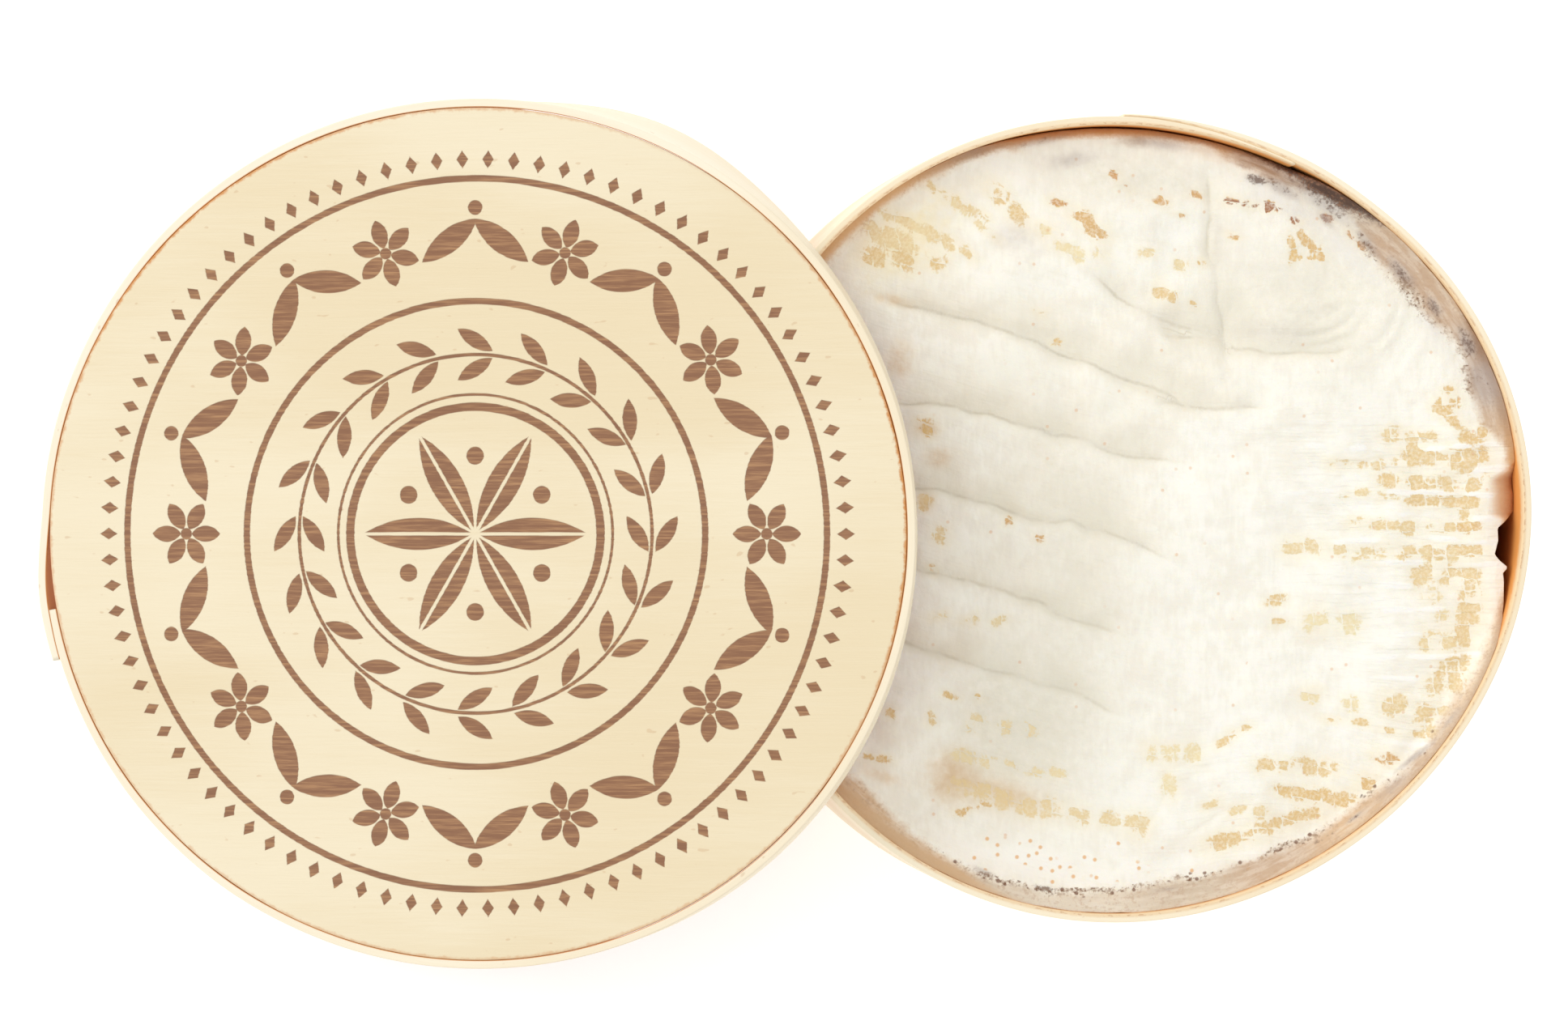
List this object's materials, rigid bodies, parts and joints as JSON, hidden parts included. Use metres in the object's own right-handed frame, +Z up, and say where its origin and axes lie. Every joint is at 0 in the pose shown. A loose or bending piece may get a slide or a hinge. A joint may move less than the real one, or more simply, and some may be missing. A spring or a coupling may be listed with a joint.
{
  "type": "soft-ripened cheese",
  "caption": "Small round soft-ripened cheese with a creased white rind, in its open box of bent wood veneer, with the box's lid propped on the rim.",
  "frame": {"origin": "on the surface it stands on, under the middle of the bounding box of box and lid", "axes": "+X from the propped lid towards the open box, +Y away from a viewer at the lid's lower left, +Z up"},
  "size_m": [0.1968, 0.1138, 0.0431],
  "materials": {
    "rind": "matt white mould rind, creased, with tan bare patches",
    "veneer": "bare bent wood veneer, fine straight grain, unvarnished",
    "printed_veneer": "bare wood veneer with a brown burnt-in ornament"
  },
  "bodies": {
    "root": {"cheese": "rind", "box_hoop": "veneer", "box_base": "veneer", "lid_hoop": "veneer", "lid_disc": "printed_veneer"}
  },
  "joints": []
}
